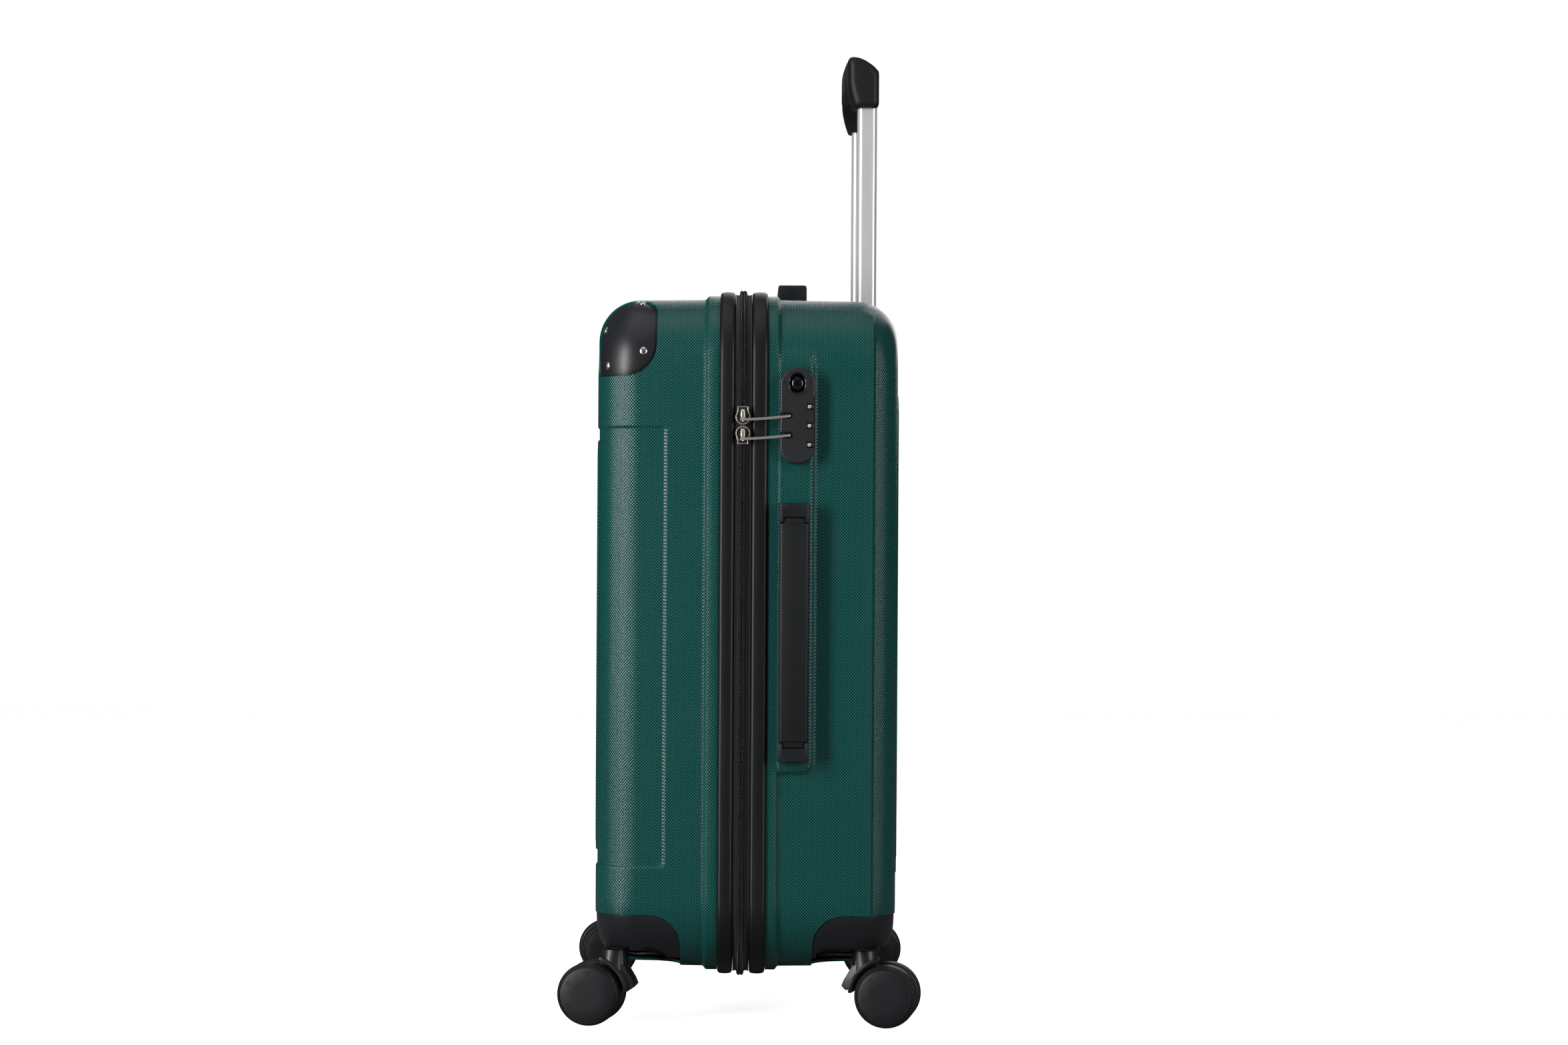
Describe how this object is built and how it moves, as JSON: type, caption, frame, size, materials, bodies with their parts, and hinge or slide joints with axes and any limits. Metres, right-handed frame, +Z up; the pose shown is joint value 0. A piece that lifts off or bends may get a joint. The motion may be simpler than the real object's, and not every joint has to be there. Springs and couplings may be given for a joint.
{
  "type": "hard shell suitcase",
  "caption": "Hard shell suitcase with swivelling casters, a zipped clamshell body, a side combination lock, carrying handles and a telescoping trolley handle.",
  "frame": {"origin": "on the floor under the centre of the whole object as it stands on its wheels", "axes": "+Z up, -Y towards the front shell, +X towards the side with the lock and the side handle"},
  "size_m": [0.4546, 0.3118, 0.841],
  "materials": {
    "green_shell": "embossed, satin gloss",
    "band_rubber": "satin",
    "zip_tape": "woven",
    "zip_coil": "nylon coil",
    "nickel": "polished nickel plate",
    "black_plastic": "fine moulded grain",
    "gloss_black": "gloss",
    "soft_grip": "soft touch",
    "aluminium_tube": "satin anodised",
    "steel_axle": "plain",
    "lining_cloth": "woven polyester",
    "wheel_black": "matt"
  },
  "bodies": {
    "rear_case": {"rear_shell": "green_shell", "rear_band": "band_rubber", "rear_zip_tape": "zip_tape", "rear_zip_coil": "zip_coil", "rear_lining": "lining_cloth", "hinge_gusset": "lining_cloth", "lock_body": "black_plastic", "slider_upper": "nickel", "slider_lower": "nickel", "side_handle_cap_lower": "black_plastic", "side_handle_cap_upper": "black_plastic", "top_handle_cap_left": "black_plastic", "top_handle_cap_right": "black_plastic", "outer_tube_left": "aluminium_tube", "outer_tube_right": "aluminium_tube", "trolley_tray": "black_plastic", "trolley_bracket": "black_plastic", "rear_right_housing": "black_plastic", "rear_left_housing": "black_plastic"},
    "front_case": {"front_shell": "green_shell", "front_band": "band_rubber", "front_zip_tape": "zip_tape", "front_zip_coil": "zip_coil", "front_lining": "lining_cloth", "corner_guard_left": "black_plastic", "corner_guard_right": "black_plastic", "front_right_housing": "black_plastic", "front_left_housing": "black_plastic"},
    "puller_upper": {"puller_upper": "nickel"},
    "puller_lower": {"puller_lower": "nickel"},
    "lock_button": {"lock_button": "black_plastic"},
    "key_cylinder": {"key_cylinder": "gloss_black"},
    "lock_dial_1": {"lock_dial_1": "gloss_black"},
    "lock_dial_2": {"lock_dial_2": "gloss_black"},
    "lock_dial_3": {"lock_dial_3": "gloss_black"},
    "side_handle": {"side_handle_strap": "soft_grip"},
    "top_handle": {"top_handle_strap": "soft_grip"},
    "trolley_middle": {"middle_tube_left": "aluminium_tube", "middle_tube_right": "aluminium_tube"},
    "trolley_top": {"inner_tube_left": "aluminium_tube", "inner_tube_right": "aluminium_tube", "trolley_grip": "soft_grip"},
    "trolley_button": {"trolley_button": "gloss_black"},
    "front_right_caster": {"front_right_fork": "black_plastic", "front_right_axle": "steel_axle"},
    "front_right_wheel_outer": {"front_right_wheel_outer": "wheel_black"},
    "front_right_wheel_inner": {"front_right_wheel_inner": "wheel_black"},
    "front_left_caster": {"front_left_fork": "black_plastic", "front_left_axle": "steel_axle"},
    "front_left_wheel_outer": {"front_left_wheel_outer": "wheel_black"},
    "front_left_wheel_inner": {"front_left_wheel_inner": "wheel_black"},
    "rear_right_caster": {"rear_right_fork": "black_plastic", "rear_right_axle": "steel_axle"},
    "rear_right_wheel_outer": {"rear_right_wheel_outer": "wheel_black"},
    "rear_right_wheel_inner": {"rear_right_wheel_inner": "wheel_black"},
    "rear_left_caster": {"rear_left_fork": "black_plastic", "rear_left_axle": "steel_axle"},
    "rear_left_wheel_outer": {"rear_left_wheel_outer": "wheel_black"},
    "rear_left_wheel_inner": {"rear_left_wheel_inner": "wheel_black"}
  },
  "joints": [
    {"name": "front_opening", "type": "hinge", "parent": "rear_case", "child": "front_case", "pos_m": [-0.22785, 0, 0.3345], "axis": [0, 0, -1], "range_deg": [0, 180]},
    {"name": "puller_upper_swing", "type": "hinge", "parent": "rear_case", "child": "puller_upper", "pos_m": [0.22205, 0, 0.5138], "axis": [0, 0, -1], "range_deg": [0, 165]},
    {"name": "puller_lower_swing", "type": "hinge", "parent": "rear_case", "child": "puller_lower", "pos_m": [0.22205, 0, 0.4976], "axis": [0, 0, -1], "range_deg": [0, 165]},
    {"name": "lock_button_press", "type": "slide", "parent": "rear_case", "child": "lock_button", "axis": [-1, 0, 0], "range_m": [0, 0.002], "stiffness_N_per_m": 250},
    {"name": "key_turn", "type": "hinge", "parent": "rear_case", "child": "key_cylinder", "pos_m": [0.21545, 0.0455, 0.5445], "axis": [1, 0, 0], "range_deg": [0, 90]},
    {"name": "dial_1_turn", "type": "hinge", "parent": "rear_case", "child": "lock_dial_1", "pos_m": [0.21645, 0.0548, 0.525], "axis": [0, 0, 1], "continuous": true},
    {"name": "dial_2_turn", "type": "hinge", "parent": "rear_case", "child": "lock_dial_2", "pos_m": [0.21645, 0.0548, 0.509], "axis": [0, 0, 1], "continuous": true},
    {"name": "dial_3_turn", "type": "hinge", "parent": "rear_case", "child": "lock_dial_3", "pos_m": [0.21645, 0.0548, 0.493], "axis": [0, 0, 1], "continuous": true},
    {"name": "side_handle_pull", "type": "slide", "parent": "rear_case", "child": "side_handle", "axis": [1, 0, 0], "range_m": [0, 0.01]},
    {"name": "top_handle_pull", "type": "slide", "parent": "rear_case", "child": "top_handle", "axis": [0, 0, 1], "range_m": [0, 0.01]},
    {"name": "trolley_lower_stage", "type": "slide", "parent": "rear_case", "child": "trolley_middle", "axis": [0, 0, 1], "range_m": [0, 0.2]},
    {"name": "trolley_upper_stage", "type": "slide", "parent": "trolley_middle", "child": "trolley_top", "axis": [0, 0, 1], "range_m": [-0.212, 0]},
    {"name": "trolley_button_press", "type": "slide", "parent": "trolley_top", "child": "trolley_button", "axis": [0, 0, -1], "range_m": [0, 0.003], "stiffness_N_per_m": 400},
    {"name": "front_right_swivel", "type": "hinge", "parent": "front_case", "child": "front_right_caster", "pos_m": [0.16435, -0.1065, 0.05], "axis": [0, 0, 1], "continuous": true},
    {"name": "front_right_wheel_outer_spin", "type": "hinge", "parent": "front_right_caster", "child": "front_right_wheel_outer", "pos_m": [0.16122, -0.12625, 0.02677], "axis": [-0.9877, 0.1564, 0], "continuous": true},
    {"name": "front_right_wheel_inner_spin", "type": "hinge", "parent": "front_right_caster", "child": "front_right_wheel_inner", "pos_m": [0.16122, -0.12625, 0.02677], "axis": [-0.9877, 0.1564, 0], "continuous": true},
    {"name": "front_left_swivel", "type": "hinge", "parent": "front_case", "child": "front_left_caster", "pos_m": [-0.17565, -0.1065, 0.05], "axis": [0, 0, 1], "continuous": true},
    {"name": "front_left_wheel_outer_spin", "type": "hinge", "parent": "front_left_caster", "child": "front_left_wheel_outer", "pos_m": [-0.17321, -0.12635, 0.02677], "axis": [-0.9925, -0.1219, 0], "continuous": true},
    {"name": "front_left_wheel_inner_spin", "type": "hinge", "parent": "front_left_caster", "child": "front_left_wheel_inner", "pos_m": [-0.17321, -0.12635, 0.02677], "axis": [-0.9925, -0.1219, 0], "continuous": true},
    {"name": "rear_right_swivel", "type": "hinge", "parent": "rear_case", "child": "rear_right_caster", "pos_m": [0.16435, 0.1065, 0.05], "axis": [0, 0, 1], "continuous": true},
    {"name": "rear_right_wheel_outer_spin", "type": "hinge", "parent": "rear_right_caster", "child": "rear_right_wheel_outer", "pos_m": [0.16748, 0.12625, 0.02677], "axis": [0.9877, -0.1564, 0], "continuous": true},
    {"name": "rear_right_wheel_inner_spin", "type": "hinge", "parent": "rear_right_caster", "child": "rear_right_wheel_inner", "pos_m": [0.16748, 0.12625, 0.02677], "axis": [0.9877, -0.1564, 0], "continuous": true},
    {"name": "rear_left_swivel", "type": "hinge", "parent": "rear_case", "child": "rear_left_caster", "pos_m": [-0.17565, 0.1065, 0.05], "axis": [0, 0, 1], "continuous": true},
    {"name": "rear_left_wheel_outer_spin", "type": "hinge", "parent": "rear_left_caster", "child": "rear_left_wheel_outer", "pos_m": [-0.17321, 0.12635, 0.02677], "axis": [0.9925, -0.1219, 0], "continuous": true},
    {"name": "rear_left_wheel_inner_spin", "type": "hinge", "parent": "rear_left_caster", "child": "rear_left_wheel_inner", "pos_m": [-0.17321, 0.12635, 0.02677], "axis": [0.9925, -0.1219, 0], "continuous": true}
  ]
}
